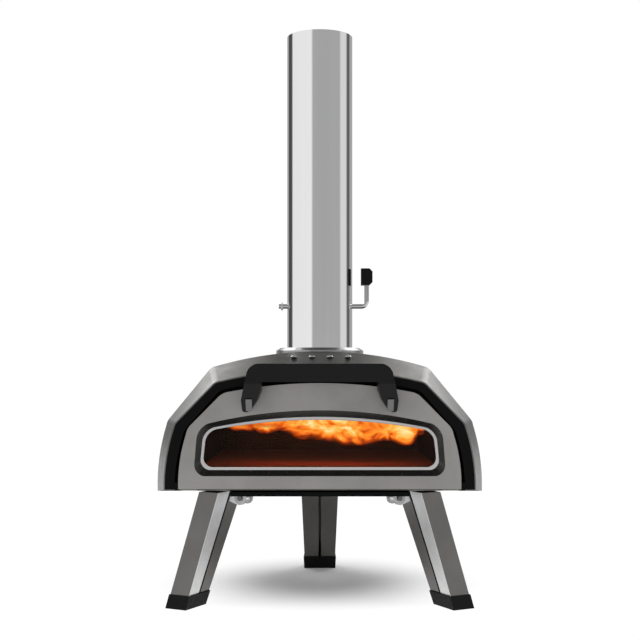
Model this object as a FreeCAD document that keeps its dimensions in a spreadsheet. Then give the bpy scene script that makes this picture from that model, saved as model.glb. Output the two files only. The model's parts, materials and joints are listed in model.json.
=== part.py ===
import FreeCAD, Part
import math
import os
import Sketcher

# A portable wood fired pizza oven.  Millimetres, +Z up, the front faces -Y, and
# the origin is on the ground under the middle of the oven.

# ---------------------------------------------------------------- dimensions
DIMENSIONS = [
    ("body_half", 206.8),          # half width of the shell at its widest section
    ("body_base", 160.0),          # height of the shell's lower edge
    ("body_rise", 178.0),          # from the lower edge to the crown
    ("lip_half", 193.5),           # half width of the shell's front edge
    ("lip_base", 166.0),           # height of the front edge's lower end
    ("lip_drop", 28.5),            # how much less the front edge's arch rises than the body's
    ("front_y", -289.0),           # front edge of the shell
    ("widest_y", -244.0),          # where the shell reaches its full section
    ("back_y", 195.0),             # rear of the shell
    ("sheet_thick", 1.5),          # folded steel sheet
    ("skin_gap", 0.4),             # slack between nested sheet pieces
    ("frame_depth", 27.0),         # depth of the black front frame
    ("frame_half", 180.0),         # half width of the frame's opening
    ("frame_rise", 137.0),         # height of the frame's opening
    ("mouth_half", 158.0),         # half width of the oven's mouth
    ("mouth_base", 178.0),         # height of the mouth's lower edge
    ("mouth_rise", 110.0),         # height of the mouth
    ("liner_half", 166.0),         # half width of the inner liner
    ("liner_base", 170.0),         # underside of the inner liner
    ("liner_rise", 124.0),         # height of the inner liner
    ("liner_back", 184.0),         # rear end of the inner liner
    ("stone_half", 152.0),         # half width of the baking stone
    ("stone_thick", 12.0),         # thickness of the baking stone
    ("stone_top", 190.0),          # height of the baking surface
    ("stone_front", -250.0),       # front edge of the baking stone
    ("stone_length", 330.0),       # depth of the baking stone
    ("guard_height", 26.0),        # height of the flame guard behind the stone
    ("door_half", 175.0),          # half width of the door
    ("door_base", 167.0),          # lower edge of the door
    ("door_rise", 131.0),          # height of the door
    ("door_y", -292.0),            # front face of the door
    ("door_thick", 8.0),           # thickness of the door's front panel
    ("backing_thick", 9.0),        # thickness of the door's rear panel
    ("bevel_half", 155.0),         # half width of the window's bevelled recess
    ("bevel_base", 183.0),         # lower edge of the recess
    ("bevel_rise", 81.5),          # height of the recess
    ("window_half", 148.0),        # half width of the window opening
    ("window_base", 190.0),        # lower edge of the window opening
    ("window_rise", 66.0),         # height of the window opening
    ("trim_width", 3.5),           # width of the bright ring round the glass
    ("trim_thick", 2.5),           # thickness of that ring
    ("glass_thick", 4.0),          # thickness of the glass
    ("pivot_y", -288.0),           # axis of the door's hinge
    ("pivot_z", 170.0),
    ("pivot_radius", 2.0),
    ("handle_half", 88.0),         # half width of the door's handle
    ("handle_front", -345.0),      # front face of the handle's bar
    ("handle_bottom", 300.0),      # underside of the bar
    ("handle_tall", 22.0),         # height of the bar
    ("handle_deep", 16.0),         # depth of the bar
    ("handle_slope", 40.0),        # degrees the handle's lower face leans from upright
    ("arm_low", 263.0),            # lower tips of the handle's arms
    ("arm_out", 95.2),             # outermost point of an arm
    ("arm_in", 71.0),              # inner face of an arm under the bar
    ("flue_y", -187.0),            # axis of the chimney
    ("pipe_radius", 43.0),         # outer radius of the chimney
    ("pipe_wall", 1.0),
    ("pipe_seat", 5.0),            # from the crown of the shell to the chimney's lower end
    ("pipe_top", 753.0),           # open top of the chimney
    ("spigot_gap", 0.4),           # slack between the chimney and its spigot
    ("spigot_rise", 29.0),         # height of the spigot inside the chimney
    ("collar_radius", 57.5),       # outer radius of the collar
    ("collar_tall", 12.0),         # from the collar's lower edge to the chimney's foot
    ("collar_lip", 8.5),           # upright edge of the collar
    ("collar_crown", 52.0),        # radius of the collar's flat top
    ("damper_rise", 55.0),         # from the chimney's lower end to the damper's rod
    ("rod_radius", 3.0),
    ("rod_slack", 0.05),
    ("rod_past", 11.0),            # the rod's plain end, outside the chimney's wall
    ("lever_past", 19.0),          # the rod's upright end, outside the chimney's wall
    ("bend_radius", 7.0),
    ("knob_rise", 28.0),           # from the rod's axis to the underside of the knob
    ("knob_tall", 22.0),
    ("knob_wide", 15.0),
    ("damper_gap", 2.5),           # from the damper's edge to the chimney's outside
    ("tray_half", 113.0),          # half width of the plate under the body
    ("tray_front", -262.0),
    ("tray_length", 372.0),
    ("tray_drop", 5.3),            # depth of its folded lips
    ("pin_z", 147.6),              # height of the legs' hinge pins
    ("front_pin_x", 103.0),        # front pins, from the middle
    ("front_pin_y", -218.0),
    ("rear_pin_y", 54.0),
    ("pin_radius", 2.6),
    ("leg_lean", 19.3),            # degrees a standing leg leans outward
    ("leg_turn", 63.0),            # degrees a front leg is turned from the rear one
    ("leg_top_width", 61.0),
    ("leg_foot_width", 47.0),
    ("leg_top_depth", 28.0),
    ("leg_foot_depth", 28.0),
    ("leg_offset", 17.0),          # from the pin to the leg's inner face
    ("leg_head", 24.0),            # blank length above the pin before the top cut
    ("leg_reach", 158.0),          # leg length below the pin
    ("leg_slit", 3.8),
    ("foot_skin", 1.3),            # rubber round the leg's end
    ("foot_top", 19.0),            # height of the foot's upper edge
    ("foot_end", 185.0),           # blank length of the foot before the ground cut
    ("bracket_plate", 2.0),
    ("bracket_gap", 15.6),         # clear width between a bracket's two plates
    ("bracket_radius", 8.5),
    ("knuckle_radius", 6.0),
    ("side_slack", 0.3),
    ("box_half", 78.0),            # fuel box behind the oven
    ("box_base", 164.0),
    ("box_tall", 132.0),
    ("box_depth", 105.0),
    ("throat_half", 70.0),         # way from the fuel box into the oven
    ("throat_base", 196.0),
    ("throat_tall", 62.0),
    ("grate_z", 205.0),            # underside of the fire grate
    ("burner_half", 66.0),         # burner tray, which slides out to the rear
    ("burner_base", 168.0),
    ("burner_tall", 30.0),
    ("rear_limit", 345.0),         # rearmost point of the burner tray's handle
    ("hatch_thick", 3.0),
    ("bolt_radius", 3.5),
    ("bolt_head", 2.4),
]

document = FreeCAD.newDocument("pizza_oven")
sheet = document.addObject("Spreadsheet::Sheet", "dims")
for row, (alias, number) in enumerate(DIMENSIONS, start=1):
    sheet.set("A%d" % row, alias)
    sheet.set("B%d" % row, str(number))
    sheet.setAlias("B%d" % row, alias)
document.recompute()


class Size:
    """A length with its number and the sheet expression that drives it."""

    def __init__(self, value, text):
        self.value = value
        self.text = text

    def __add__(self, other):
        other = as_size(other)
        return Size(self.value + other.value, "(%s + %s)" % (self.text, other.text))

    def __sub__(self, other):
        other = as_size(other)
        return Size(self.value - other.value, "(%s - %s)" % (self.text, other.text))

    def __mul__(self, other):
        other = as_size(other)
        return Size(self.value * other.value, "(%s * %s)" % (self.text, other.text))

    def __truediv__(self, other):
        other = as_size(other)
        return Size(self.value / other.value, "(%s / %s)" % (self.text, other.text))

    def __neg__(self):
        return Size(-self.value, "(0 - %s)" % self.text)

    def __radd__(self, other):
        return as_size(other) + self

    def __rsub__(self, other):
        return as_size(other) - self

    def __rmul__(self, other):
        return as_size(other) * self


def as_size(number):
    if isinstance(number, Size):
        return number
    return Size(float(number), "%.6f" % number if number >= 0 else "(0 - %.6f)" % -number)


def root(size):
    return Size(math.sqrt(size.value), "sqrt(%s)" % size.text)


D = {alias: Size(float(sheet.get(alias)), "dims." + alias) for alias, number in DIMENSIONS}

# Sizes that follow from the ones above, so that the parts stay together.
D["lip_rise"] = D["body_rise"] - D["lip_drop"]
D["pipe_foot"] = D["body_base"] + D["body_rise"] + D["pipe_seat"]
D["spigot_top"] = D["pipe_foot"] + D["spigot_rise"]
D["damper_z"] = D["pipe_foot"] + D["damper_rise"]
D["knob_bottom"] = D["damper_z"] + D["knob_rise"]
D["rod_left"] = D["pipe_radius"] + D["rod_past"]
D["lever_x"] = D["pipe_radius"] + D["lever_past"]
D["damper_radius"] = D["pipe_radius"] - D["damper_gap"]


# ------------------------------------------------------------------- helpers
def bind(thing, path, size):
    """Drive one property from the sheet."""
    thing.setExpression(path, as_size(size).text)


def place(thing, x=0, y=0, z=0, turn=(0, 0, 0)):
    """Put a thing at x, y, z with yaw, pitch and roll in degrees."""
    thing.Placement = FreeCAD.Placement(FreeCAD.Vector(0, 0, 0), FreeCAD.Rotation(*turn))
    bind(thing, "Placement.Base.x", x)
    bind(thing, "Placement.Base.y", y)
    bind(thing, "Placement.Base.z", z)
    return thing


def box(name, low, span):
    """A box from its low corner and its three lengths."""
    solid = document.addObject("Part::Box", name)
    for prop, length in zip(("Length", "Width", "Height"), span):
        bind(solid, prop, length)
    return place(solid, *low)


def rod(name, radius, height, at, turn=(0, 0, 0)):
    """A cylinder that starts at a point and runs along its turned Z axis."""
    solid = document.addObject("Part::Cylinder", name)
    bind(solid, "Radius", radius)
    bind(solid, "Height", height)
    return place(solid, *at, turn=turn)


ALONG_X = (0, 90, 0)
ALONG_Y = (0, 0, -90)


def fuse(name, pieces):
    joined = document.addObject("Part::MultiFuse", name)
    joined.Shapes = pieces
    return joined


def cut(name, base, tool):
    left = document.addObject("Part::Cut", name)
    left.Base = base
    left.Tool = tool
    return left


def draw(body, name, y, path):
    """A closed outline in the plane at y.  A path item is x, z and the radius of
    the arc that leads to the next item, or None for a straight run."""
    sketch = body.newObject("Sketcher::SketchObject", name)
    plane = [item for item in body.Origin.OriginFeatures if item.Role == "XZ_Plane"][0]
    sketch.AttachmentSupport = [(plane, "")]
    sketch.MapMode = "FlatFace"
    bind(sketch, "AttachmentOffset.Base.z", -as_size(y))
    corners = [(as_size(x), as_size(z)) for x, z, bend in path]
    count = len(path)
    ends = []
    for index, (x, z, bend) in enumerate(path):
        start = FreeCAD.Vector(corners[index][0].value, corners[index][1].value, 0)
        after = corners[(index + 1) % count]
        stop = FreeCAD.Vector(after[0].value, after[1].value, 0)
        if bend is None:
            edge = sketch.addGeometry(Part.LineSegment(start, stop), False)
        else:
            edge = sketch.addGeometry(arc_between(start, stop, bend.value), False)
        ends.append(edge)
        if bend is not None:
            rule = sketch.addConstraint(Sketcher.Constraint("Radius", edge, bend.value))
            bind(sketch, "Constraints[%d]" % rule, bend)
    for index in range(count):
        before = ends[index - 1]
        sketch.addConstraint(Sketcher.Constraint("Coincident", before, 2, ends[index], 1))
    for index, (x, z) in enumerate(corners):
        for kind, size in (("DistanceX", x), ("DistanceY", z)):
            where = Sketcher.Constraint(kind, -1, 1, ends[index], 1, size.value)
            rule = sketch.addConstraint(where)
            bind(sketch, "Constraints[%d]" % rule, size)
    return sketch


def arc_between(start, stop, radius):
    """The short arc that turns left from one point to another."""
    middle = (start + stop) * 0.5
    half = (stop - start).Length / 2
    inward = FreeCAD.Vector(start.y - stop.y, stop.x - start.x, 0)
    inward.normalize()
    centre = middle + inward * math.sqrt(radius * radius - half * half)
    first = math.atan2(start.y - centre.y, start.x - centre.x)
    last = math.atan2(stop.y - centre.y, stop.x - centre.x)
    circle = Part.Circle(centre, FreeCAD.Vector(0, 0, 1), radius)
    return Part.ArcOfCircle(circle, first, last)


def chord(first, second):
    across = as_size(first[0]) - second[0]
    up = as_size(first[1]) - second[1]
    return root(across * across + up * up)


def mirrored(side, top_radius):
    """Close a right-hand half outline, bottom to top, with its mirror image."""
    path = []
    for index in range(len(side)):
        x, z, factor = side[index]
        bend = None
        if factor is not None:
            bend = chord(side[index], side[index + 1]) * factor
        path.append((x, z, bend))
    path[-1] = (path[-1][0], path[-1][1], top_radius)
    for index in range(len(side) - 1, -1, -1):
        x, z, factor = side[index]
        bend = path[index - 1][2] if index > 0 else None
        path.append((-as_size(x), z, bend))
    return path


# Shape of the arch, as parts of its half width and its height, with each run's
# arc radius as a multiple of its chord.
SIDE_BOW = 3.0
CORNER_BEND = 1.93
CROWN_BEND = 1.73


def arch_shape(low_across, low_up, high_across, high_up, near=0.05):
    """Half an arch from its two corners: a bowed side, a flat facet and a crown.
    Each corner is rounded over a small share of the runs that meet there."""
    across = low_across - high_across
    up = high_up - low_up
    crown = high_across - near * 0.5
    crown_up = 1 - (1 - high_up) * (crown / high_across) ** 2
    return [(1.0, 0.0, SIDE_BOW),
            (low_across + (1 - low_across) * near, low_up * (1 - near), CORNER_BEND),
            (low_across - across * near, low_up + up * near, None),
            (high_across + across * near, high_up - up * near, CROWN_BEND),
            (crown, crown_up, None)]


def blend_shapes(first, second, share):
    """A shape part of the way between two others; the share is a Size."""
    mixed = []
    for (across, up, bend), (other_across, other_up, ignored) in zip(first, second):
        mixed.append((share * (other_across - across) + across, share * (other_up - up) + up, bend))
    return mixed


WIDE_ARCH = arch_shape(0.943, 0.498, 0.670, 0.884)
LIP_ARCH = arch_shape(0.936, 0.543, 0.673, 0.892)
DOOR_ARCH = arch_shape(0.940, 0.567, 0.690, 0.905, 0.09)
WINDOW = [(0.93, 0.0, 0.75), (1.0, 0.2, None), (0.985, 0.55, 0.95), (0.89, 0.80, None)]


def outline(shape, half, base, rise):
    """The arch or the window at a given half width, lower edge and height."""
    half = as_size(half)
    base = as_size(base)
    rise = as_size(rise)
    side = [(half * across, base + rise * up, factor) for across, up, factor in shape]
    crown_x = half * shape[-1][0]
    sag = rise * (1 - as_size(shape[-1][1]))
    top_radius = (crown_x * crown_x + sag * sag) / (sag * 2)
    return mirrored(side, top_radius)


def prism(name, path, y, depth):
    """A pad of an outline from the plane at y towards the front."""
    body = document.addObject("PartDesign::Body", name)
    sketch = draw(body, name + "_outline", y, path)
    pad = body.newObject("PartDesign::Pad", name + "_pad")
    pad.Profile = sketch
    bind(pad, "Length", depth)
    body.Tip = pad
    return body


def loft(name, sections):
    """A ruled loft through outlines, each given with its y."""
    body = document.addObject("PartDesign::Body", name)
    sketches = []
    for index, (y, path) in enumerate(sections):
        sketches.append(draw(body, "%s_outline_%d" % (name, index), y, path))
    solid = body.newObject("PartDesign::AdditiveLoft", name + "_loft")
    solid.Profile = sketches[0]
    solid.Sections = sketches[1:]
    solid.Ruled = True
    body.Tip = solid
    return body


NODES = []


def node(thing, name):
    """Name a finished sub-part."""
    thing.Label = name
    NODES.append((name, thing))
    return thing


# ------------------------------------------------------------------- the body
def section_at(y, inset):
    """The shell's section at y, between its front edge and its widest section."""
    share = (as_size(y) - D["front_y"]) / (D["widest_y"] - D["front_y"])
    half = D["lip_half"] + (D["body_half"] - D["lip_half"]) * share
    base = D["lip_base"] + (D["body_base"] - D["lip_base"]) * share
    rise = D["lip_rise"] + (D["body_rise"] - D["lip_rise"]) * share
    shape = blend_shapes(LIP_ARCH, WIDE_ARCH, share)
    return outline(shape, half - inset, base, rise - inset)


def shell_form(name, inset, back):
    wide = outline(WIDE_ARCH, D["body_half"] - inset, D["body_base"], D["body_rise"] - inset)
    sections = [(D["front_y"], section_at(D["front_y"], inset))]
    sections.append((D["widest_y"], wide))
    sections.append((back, wide))
    return loft(name, sections)


def flue_cutter(name, radius, low, high):
    return rod(name, radius, as_size(high) - low, (0, D["flue_y"], low))


def make_shell():
    outer = shell_form("shell_outside", as_size(0), D["back_y"])
    inner = shell_form("shell_inside", D["sheet_thick"], D["back_y"])
    hole = flue_cutter("shell_flue_hole", D["pipe_radius"] + 2, 250, 400)
    node(cut("shell", outer, fuse("shell_voids", [inner, hole])), "outer_shell")


def make_rear_panel():
    inset = D["sheet_thick"] + D["skin_gap"]
    path = outline(WIDE_ARCH, D["body_half"] - inset, D["body_base"], D["body_rise"] - inset)
    plate = prism("rear_plate", path, D["back_y"], D["sheet_thick"])
    sill = box("rear_plate_sill", (-250, D["back_y"] - 5, D["body_base"] - 5),
               (500, 10, D["sheet_thick"] + 5 + D["skin_gap"]))
    low = (-D["throat_half"], D["back_y"] - 5, D["throat_base"])
    throat = box("rear_plate_throat", low, (D["throat_half"] * 2, 10, D["throat_tall"]))
    node(cut("rear_plate_cut", plate, fuse("rear_plate_voids", [throat, sill])), "rear_panel")


def make_front_frame():
    inset = D["sheet_thick"] + D["skin_gap"]
    back = D["front_y"] + D["frame_depth"]
    ring = loft("frame_blank", [(D["front_y"], section_at(D["front_y"], inset)),
                                (back, section_at(back, inset))])
    path = outline(DOOR_ARCH, D["frame_half"], D["body_base"] - 6, D["frame_rise"] + 12)
    hole = prism("frame_hole", path, back + 5, D["frame_depth"] + 10)
    node(cut("frame", ring, hole), "front_frame")


def make_mouth_plate():
    inset = D["sheet_thick"] + D["skin_gap"]
    back = D["front_y"] + D["frame_depth"]
    blank = loft("mouth_blank", [(back, section_at(back, inset)),
                                 (back + 2, section_at(back + 2, inset))])
    path = outline(DOOR_ARCH, D["mouth_half"], D["mouth_base"], D["mouth_rise"])
    hole = prism("mouth_hole", path, back + 6, 12)
    sill = box("mouth_sill_cut", (-250, back - 5, 100), (500, 12, 67.5))
    node(cut("mouth", blank, fuse("mouth_voids", [hole, sill])), "mouth_plate")


def make_floor():
    """The flat base plate, and the sloping plate in front of it."""
    inset = D["sheet_thick"] + D["skin_gap"]
    low = (-(D["body_half"] - inset - 0.6), D["widest_y"], D["body_base"])
    span = ((D["body_half"] - inset - 0.6) * 2, D["back_y"] - D["widest_y"], D["sheet_thick"])
    node(box("base", low, span), "base_plate")
    reach = D["widest_y"] - D["front_y"] - 5
    climb = D["lip_base"] - D["body_base"]
    ramp = document.addObject("Part::Box", "threshold")
    half = D["frame_half"] - 5
    bind(ramp, "Length", half * 2)
    bind(ramp, "Width", reach)
    bind(ramp, "Height", D["sheet_thick"])
    slope = math.degrees(math.atan2(climb.value, (D["widest_y"] - D["front_y"]).value))
    place(ramp, -half, D["front_y"] + 5, D["lip_base"] - climb * 0.111,
          turn=(0, 0, -slope))
    node(ramp, "threshold_plate")


def make_under_tray():
    top = D["body_base"]
    plate = box("tray_plate", (-D["tray_half"], D["tray_front"], top - D["sheet_thick"]),
                (D["tray_half"] * 2, D["tray_length"], D["sheet_thick"]))
    lips = []
    for name, y in (("front", D["tray_front"]),
                    ("back", D["tray_front"] + D["tray_length"] - D["sheet_thick"])):
        low = (-D["tray_half"], y, top - D["tray_drop"])
        span = (D["tray_half"] * 2, D["sheet_thick"], D["tray_drop"])
        lips.append(box("tray_lip_" + name, low, span))
    blank = fuse("tray_blank", [plate] + lips)
    node(blank, "under_tray")


def make_liner():
    front = D["front_y"] + D["frame_depth"] + 2
    length = D["liner_back"] - front
    outer = prism("liner_outside", outline(LIP_ARCH, D["liner_half"], D["liner_base"], D["liner_rise"]),
                  D["liner_back"], length)
    thin = D["sheet_thick"]
    path = outline(LIP_ARCH, D["liner_half"] - thin, D["liner_base"] + thin, D["liner_rise"] - thin * 2)
    inner = prism("liner_inside", path, D["liner_back"] - thin, length)
    hole = flue_cutter("liner_flue_hole", D["pipe_radius"] - 3, 250, 320)
    low = (-D["throat_half"], D["liner_back"] - 10, D["throat_base"])
    throat = box("liner_throat", low, (D["throat_half"] * 2, 20, D["throat_tall"]))
    node(cut("liner", outer, fuse("liner_voids", [inner, hole, throat])), "inner_liner")


def make_insulation():
    inset = D["sheet_thick"] + 3
    front = D["widest_y"] + 4
    path = outline(WIDE_ARCH, D["body_half"] - inset, D["body_base"], D["body_rise"] - inset)
    outer = prism("blanket_outside", path, D["liner_back"], D["liner_back"] - front)
    slack = 0.5
    length = D["liner_back"] - front + 10
    path = outline(LIP_ARCH, D["liner_half"] + slack, D["liner_base"], D["liner_rise"] + slack)
    inner = prism("blanket_inside", path, D["liner_back"] + 5, length)
    low = (-(D["liner_half"] + slack), D["liner_back"] + 5 - length, D["body_base"] - 2)
    below = box("blanket_below", low, ((D["liner_half"] + slack) * 2, length,
                D["liner_base"] - D["body_base"] + 4))
    sill = box("blanket_sill", (-250, D["liner_back"] + 5 - length, D["body_base"] - 5),
               (500, length, D["sheet_thick"] + 5.5))
    hole = flue_cutter("blanket_flue_hole", D["pipe_radius"] + 2, 250, 400)
    node(cut("blanket", outer, fuse("blanket_voids", [inner, below, sill, hole])), "insulation_blanket")


def make_stone():
    low = (-D["stone_half"], D["stone_front"], D["stone_top"] - D["stone_thick"])
    node(box("stone", low, (D["stone_half"] * 2, D["stone_length"], D["stone_thick"])), "pizza_stone")
    rails = []
    floor = D["liner_base"] + D["sheet_thick"]
    gap = D["stone_top"] - D["stone_thick"] - floor
    for side in (-1, 1):
        low = (D["stone_half"] * 0.8 * side - 5, D["stone_front"] + 10, floor)
        rails.append(box("stone_rail_%d" % (side + 1), low, (10, D["stone_length"] - 20, gap)))
    node(fuse("rails", rails), "stone_rails")
    low = (-126, D["stone_front"] + D["stone_length"] + 1, floor)
    tall = D["stone_top"] + D["guard_height"] - floor
    node(box("guard", low, (252, D["sheet_thick"], tall)), "flame_guard")


def make_flue():
    """The duct from the liner's roof, which the chimney slides down over."""
    radius = D["pipe_radius"] - D["pipe_wall"] - D["spigot_gap"]
    base = D["liner_base"] + D["liner_rise"] - 3
    tube = rod("flue_tube", radius, D["spigot_top"] - base, (0, D["flue_y"], base))
    bore = rod("flue_bore", radius - 1.2, 300, (0, D["flue_y"], base - 20))
    under = prism("flue_under", outline(LIP_ARCH, D["liner_half"], D["liner_base"], D["liner_rise"]),
                  D["liner_back"], 480)
    node(cut("flue", tube, fuse("flue_voids", [bore, under])), "flue_duct")
    cone = document.addObject("Part::Cone", "collar_cone")
    lip = D["pipe_foot"] - D["collar_tall"]
    bind(cone, "Radius1", D["collar_radius"])
    bind(cone, "Radius2", D["collar_crown"])
    bind(cone, "Height", D["collar_tall"] - D["collar_lip"])
    place(cone, 0, D["flue_y"], lip + D["collar_lip"])
    skirt = rod("collar_skirt", D["collar_radius"], D["collar_lip"] + 4, (0, D["flue_y"], lip - 4))
    blank = fuse("collar_blank", [cone, skirt])
    roof = shell_form("collar_roof", as_size(0), D["back_y"])
    hole = flue_cutter("collar_hole", radius + 0.2, 250, 400)
    node(cut("collar", blank, fuse("collar_voids", [roof, hole])), "chimney_collar")


# -------------------------------------------------------------------- the door
def make_door():
    back = D["door_y"] + D["door_thick"]
    blank = prism("door_blank", outline(DOOR_ARCH, D["door_half"], D["door_base"], D["door_rise"]),
                  back, D["door_thick"])
    recess = loft("door_recess", [
        (D["door_y"], outline(WINDOW, D["bevel_half"], D["bevel_base"], D["bevel_rise"])),
        (back, outline(WINDOW, D["window_half"], D["window_base"], D["window_rise"]))])
    bores = []
    for side in (-1, 1):
        start = D["door_half"] - 10 if side > 0 else -D["door_half"] - 2
        bores.append(rod("door_bore_%d" % (side + 1), D["pivot_radius"] + 0.05, 12,
                         (start, D["pivot_y"], D["pivot_z"]), ALONG_X))
    bevel = outline(WINDOW, D["bevel_half"], D["bevel_base"], D["bevel_rise"])
    opening = prism("door_opening", bevel, back + 2, D["door_thick"] + 4)
    node(cut("door", blank, fuse("door_voids", [opening] + bores)), "door_panel")
    bezel = prism("bezel_blank", bevel, back, D["door_thick"])
    node(cut("bezel", bezel, recess), "window_bezel")
    rear = back + D["backing_thick"]
    panel = prism("backing_blank", outline(DOOR_ARCH, D["door_half"] - 9, D["door_base"] + 9,
                  D["door_rise"] - 18), rear, D["backing_thick"])
    seat = prism("backing_seat", outline(WINDOW, D["window_half"] + 4, D["window_base"] - 4,
                 D["window_rise"] + 8), back + D["trim_thick"] + D["glass_thick"],
                 D["trim_thick"] + D["glass_thick"])
    sight = prism("backing_sight", outline(WINDOW, D["window_half"] - 4, D["window_base"] + 4,
                  D["window_rise"] - 8), rear + 2, D["backing_thick"] + 4)
    node(cut("backing", panel, fuse("backing_voids", [seat, sight])), "door_backing")
    wide = outline(WINDOW, D["window_half"] + 3.5, D["window_base"] - 3.5, D["window_rise"] + 7)
    narrow = outline(WINDOW, D["window_half"] - D["trim_width"], D["window_base"] + D["trim_width"],
                     D["window_rise"] - D["trim_width"] * 2)
    ring = prism("trim_blank", wide, back + D["trim_thick"], D["trim_thick"])
    hole = prism("trim_hole", narrow, back + D["trim_thick"] + 2, D["trim_thick"] + 4)
    node(cut("trim", ring, hole), "window_trim")
    node(prism("glass", wide, back + D["trim_thick"] + D["glass_thick"], D["glass_thick"]),
         "window_glass")


def make_door_hinges():
    for side, word in ((-1, "left"), (1, "right")):
        low_x = D["frame_half"] - 4.2 if side > 0 else -D["frame_half"] + 0.4
        block = box("hinge_block_" + word, (low_x, D["front_y"] - 3, D["pivot_z"] - 5),
                    (3.8, 12, 10))
        node(block_with_pin(block, side, word), "door_hinge_" + word)


def block_with_pin(block, side, word):
    start = D["door_half"] - 7 if side > 0 else -D["frame_half"] + 1
    pin = rod("hinge_pin_" + word, D["pivot_radius"], D["frame_half"] - D["door_half"] + 6,
              (start, D["pivot_y"], D["pivot_z"]), ALONG_X)
    return fuse("hinge_" + word, [block, pin])


def make_handle():
    """The bar is a rounded rail, and its two arms spread down to the door."""
    back = D["handle_front"] + D["handle_deep"]
    half = D["handle_half"]
    low = D["handle_bottom"]
    high = low + D["handle_tall"]
    bar_path = [(-half + 4, low + 4, None), (-half + 16, low, None), (half - 16, low, None),
                (half - 4, low + 4, None), (half, high - 14, D["handle_tall"] * 0.72),
                (half - 14, high, None), (-half + 14, high, D["handle_tall"] * 0.72),
                (-half, high - 14, None)]
    bar = prism("handle_bar", bar_path, back, D["handle_deep"])
    arms = []
    for side, word in ((-1, "left"), (1, "right")):
        inner = D["arm_in"]
        outer = D["arm_out"]
        tip = D["arm_low"]
        arm_path = [(inner, low + 3, None), (inner, tip + 27, None), (inner + 4.5, tip + 15, None),
                    (inner + 13, tip + 2.5, None), (inner + 17, tip, None), (outer - 3, tip, None),
                    (outer - 1, tip + 2, None), (outer, tip + 15, None), (outer - 3, tip + 27, None),
                    (half, low + 8, None)]
        if side < 0:
            arm_path = [(-x, z, bend) for x, z, bend in reversed(arm_path)]
        arm = prism("handle_arm_" + word, arm_path, D["door_y"], D["door_y"] - D["handle_front"])
        arms.append(arm)
    slope = D["handle_slope"].value
    below = (0, 0, slope - 180)
    slant = box("handle_slant", (0, 0, 0), (260, 80, 80))
    place(slant, -130, D["handle_front"], low - 2, turn=below)
    node(cut("handle", fuse("handle_blank", [bar] + arms), slant), "door_handle")
    straps = []
    reach = 24.0
    along = FreeCAD.Rotation(*below).multVec(FreeCAD.Vector(0, 0, reach))
    for side, word in ((-1, "left"), (1, "right")):
        start = D["arm_in"] + 11 if side > 0 else -D["arm_in"] - 18.5
        strap = box("strap_" + word, (0, 0, 0), (7.5, 1.2, 19))
        place(strap, start, D["handle_front"] + along.y, low - 2 + along.z, turn=below)
        straps.append(strap)
    node(fuse("straps", straps), "handle_straps")


# ----------------------------------------------------------------- the chimney
def make_chimney():
    foot = D["pipe_foot"]
    outer = rod("pipe_outside", D["pipe_radius"], D["pipe_top"] - foot, (0, D["flue_y"], foot))
    inner = rod("pipe_inside", D["pipe_radius"] - D["pipe_wall"], D["pipe_top"] - foot + 20,
                (0, D["flue_y"], foot - 10))
    hole = rod("pipe_rod_hole", D["rod_radius"] + D["rod_slack"], 120,
               (-60, D["flue_y"], D["damper_z"]), ALONG_X)
    node(cut("pipe", outer, fuse("pipe_voids", [inner, hole])), "chimney_pipe")


def make_damper():
    y = D["flue_y"]
    z = D["damper_z"]
    radius = D["rod_radius"]
    bend = D["bend_radius"]
    straight = rod("rod_run", radius, D["rod_left"] + D["lever_x"] - bend, (-D["rod_left"], y, z), ALONG_X)
    turn = document.addObject("Part::Torus", "rod_bend")
    bind(turn, "Radius1", bend)
    bind(turn, "Radius2", radius)
    turn.Angle3 = 90
    place(turn, D["lever_x"] - bend, y, z + bend, turn=(0, 0, 90))
    turn.Placement = FreeCAD.Placement(turn.Placement.Base, FreeCAD.Rotation(
        FreeCAD.Vector(1, 0, 0), 90).multiply(FreeCAD.Rotation(FreeCAD.Vector(0, 0, 1), -90)))
    upright = rod("rod_upright", radius, D["knob_bottom"] - z - bend + 6, (D["lever_x"], y, z + bend))
    disc = rod("damper_disc", D["damper_radius"], 1.5, (0, y + radius * 0.8, z), ALONG_Y)
    lever = fuse("rod_blank", [straight, turn, upright])
    node(lever, "damper_rod")
    groove = rod("damper_groove", radius, 120, (-60, y, z), ALONG_X)
    node(cut("damper", disc, groove), "damper_plate")
    body = document.addObject("PartDesign::Body", "knob")
    half = D["knob_wide"] / 2
    low = D["knob_bottom"]
    high = low + D["knob_tall"]
    x = D["lever_x"]
    path = [(x - half, low, None), (x + half - 4, low, None), (x + half, low + 4, None),
            (x + half, high - 4, None), (x + half - 4, high, None), (x - half, high, None)]
    sketch = draw(body, "knob_outline", y + half, path)
    pad = body.newObject("PartDesign::Pad", "knob_pad")
    pad.Profile = sketch
    bind(pad, "Length", D["knob_wide"])
    body.Tip = pad
    core = rod("knob_core", radius, D["knob_bottom"] - z - bend + 6, (D["lever_x"], y, z + bend))
    node(cut("knob_cut", body, core), "damper_knob")
    clip = document.addObject("Part::Torus", "clip")
    bind(clip, "Radius1", radius + 1.2)
    bind(clip, "Radius2", 1.2)
    place(clip, -D["rod_left"] + 4, y, z, turn=(0, 90, 0))
    node(clip, "damper_clip")


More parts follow.
